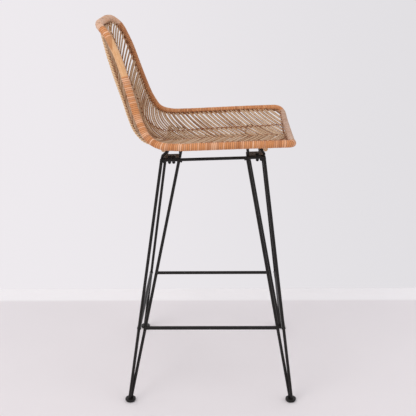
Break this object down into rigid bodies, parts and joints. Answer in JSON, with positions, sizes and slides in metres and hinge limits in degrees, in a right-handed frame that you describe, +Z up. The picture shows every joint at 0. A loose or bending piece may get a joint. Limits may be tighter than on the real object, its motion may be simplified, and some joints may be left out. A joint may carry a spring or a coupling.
{
  "type": "bar stool",
  "caption": "Fixed bar stool with a scooped woven cane seat and low back on a black round-bar base with paired splayed legs, footrest rails and disc feet.",
  "frame": {"origin": "on the floor, under the middle of the stool's outer box", "axes": "+Z up; the sitter faces -Y, so the back is on the +Y side; +X is the sitter's left; the stool is symmetric about X = 0"},
  "size_m": [0.458, 0.5072, 0.9897],
  "materials": {
    "black_steel": "satin black paint on round steel bar",
    "fastener_steel": "black coated fasteners",
    "glide_plastic": "dark moulded plastic",
    "rattan_pole": "rattan pole wrapped with cane binding",
    "rattan_weave": "thin rattan sticks laid in chevrons, unlacquered",
    "rattan_core": "peeled rattan pole"
  },
  "bodies": {
    "root": {"crest_pole": "rattan_pole", "cross_pole_front": "rattan_core", "cross_pole_rear": "rattan_core", "foot_disc_front_left": "black_steel", "foot_disc_front_right": "black_steel", "foot_disc_rear_left": "black_steel", "foot_disc_rear_right": "black_steel", "foot_glides": "glide_plastic", "footrest_rail_front": "black_steel", "footrest_rail_left": "black_steel", "footrest_rail_rear": "black_steel", "footrest_rail_right": "black_steel", "front_pole": "rattan_pole", "leg_plate_front_left": "black_steel", "leg_plate_front_right": "black_steel", "leg_plate_rear_left": "black_steel", "leg_plate_rear_right": "black_steel", "leg_rod_front_left_inner": "black_steel", "leg_rod_front_left_outer": "black_steel", "leg_rod_front_right_inner": "black_steel", "leg_rod_front_right_outer": "black_steel", "leg_rod_rear_left_inner": "black_steel", "leg_rod_rear_left_outer": "black_steel", "leg_rod_rear_right_inner": "black_steel", "leg_rod_rear_right_outer": "black_steel", "seat_bolts": "fastener_steel", "seat_bracket_front_left": "black_steel", "seat_bracket_front_right": "black_steel", "seat_bracket_rear_left": "black_steel", "seat_bracket_rear_right": "black_steel", "seat_nuts": "fastener_steel", "seat_plate_front_left": "black_steel", "seat_plate_front_right": "black_steel", "seat_plate_rear_left": "black_steel", "seat_plate_rear_right": "black_steel", "seat_washers": "fastener_steel", "side_pole_left": "rattan_pole", "side_pole_right": "rattan_pole", "side_rod_left": "rattan_core", "side_rod_right": "rattan_core", "spine_pole": "rattan_core", "top_rail_front": "black_steel", "top_rail_left": "black_steel", "top_rail_rear": "black_steel", "top_rail_right": "black_steel", "woven_skin_left": "rattan_weave", "woven_skin_right": "rattan_weave"}
  },
  "joints": []
}
